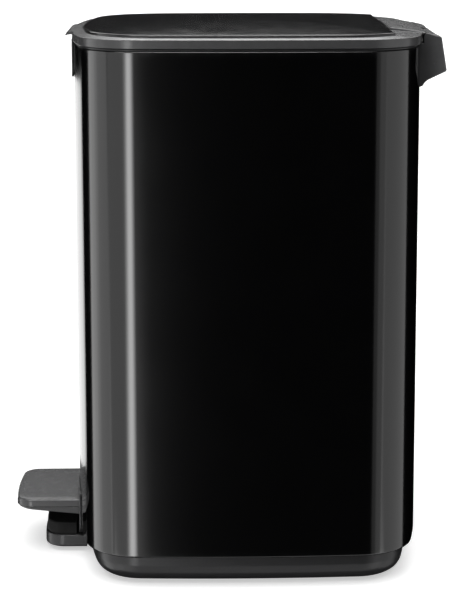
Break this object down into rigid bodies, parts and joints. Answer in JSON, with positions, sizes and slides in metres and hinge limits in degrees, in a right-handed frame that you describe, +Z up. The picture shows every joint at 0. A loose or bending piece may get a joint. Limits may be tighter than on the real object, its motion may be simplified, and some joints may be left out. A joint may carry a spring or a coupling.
{
  "type": "pedal trash can",
  "caption": "Free-standing pedal bin: black steel shell, hinged lid, lift-out bucket, rear carry grip and a front pedal whose lever and push rod raise the lid.",
  "frame": {"origin": "on the floor under the middle of the bounding box", "axes": "+Z up, -Y towards the front (the pedal), +X to the right as seen from the front"},
  "size_m": [0.2326, 0.314, 0.3969],
  "materials": {
    "black_enamel": "glossy black enamel on sheet steel",
    "satin_black": "satin black coating on sheet steel",
    "grey_plastic": "dark grey, fine moulded grain",
    "dark_plastic": "near-black grey, smooth moulded",
    "bucket_plastic": "dark grey, smooth moulded",
    "rubber": "black, matt",
    "zinc_steel": "zinc plated"
  },
  "bodies": {
    "bin_body": {"axle_clip_left": "zinc_steel", "axle_clip_right": "zinc_steel", "base_nose": "dark_plastic", "base_tray": "dark_plastic", "bearing_cap_left": "dark_plastic", "bearing_cap_right": "dark_plastic", "bearing_screw_left_front": "zinc_steel", "bearing_screw_left_rear": "zinc_steel", "bearing_screw_right_front": "zinc_steel", "bearing_screw_right_rear": "zinc_steel", "body_rim": "dark_plastic", "foot_front_left": "rubber", "foot_front_right": "rubber", "foot_rear_left": "rubber", "foot_rear_right": "rubber", "hinge_housing": "grey_plastic", "hinge_pin": "zinc_steel", "housing_screw_left": "zinc_steel", "housing_screw_right": "zinc_steel", "inner_bucket": "bucket_plastic", "lever_axle": "zinc_steel", "lid_buffer_front_left": "rubber", "lid_buffer_front_right": "rubber", "lid_buffer_rear_left": "rubber", "lid_buffer_rear_right": "rubber", "outer_shell": "black_enamel", "pedal_bezel": "dark_plastic", "pedal_stop": "rubber", "rod_guide": "dark_plastic"},
    "lid": {"lid_frame": "grey_plastic", "lid_panel": "satin_black", "lid_liner": "bucket_plastic"},
    "pedal": {"pedal_pad": "grey_plastic", "pedal_lever": "zinc_steel", "pedal_screw_left": "zinc_steel", "pedal_screw_right": "zinc_steel"},
    "push_rod": {"push_rod": "zinc_steel", "rod_cap": "rubber"}
  },
  "joints": [
    {"name": "lid_hinge", "type": "hinge", "parent": "bin_body", "child": "lid", "pos_m": [0, 0.1499, 0.3845], "axis": [-1, 0, 0], "range_deg": [0, 80]},
    {"name": "pedal_hinge", "type": "hinge", "parent": "bin_body", "child": "pedal", "pos_m": [0, -0.004, 0.0325], "axis": [1, 0, 0], "range_deg": [0, 6]},
    {"name": "push_rod_slide", "type": "slide", "parent": "bin_body", "child": "push_rod", "axis": [0, 0, 1], "range_m": [0, 0.0144]}
  ],
  "couplings": [
    {"joint": "pedal_hinge", "follows": "lid_hinge", "ratio": 0.075},
    {"joint": "push_rod_slide", "follows": "lid_hinge", "m_per_rad": 0.010313}
  ]
}
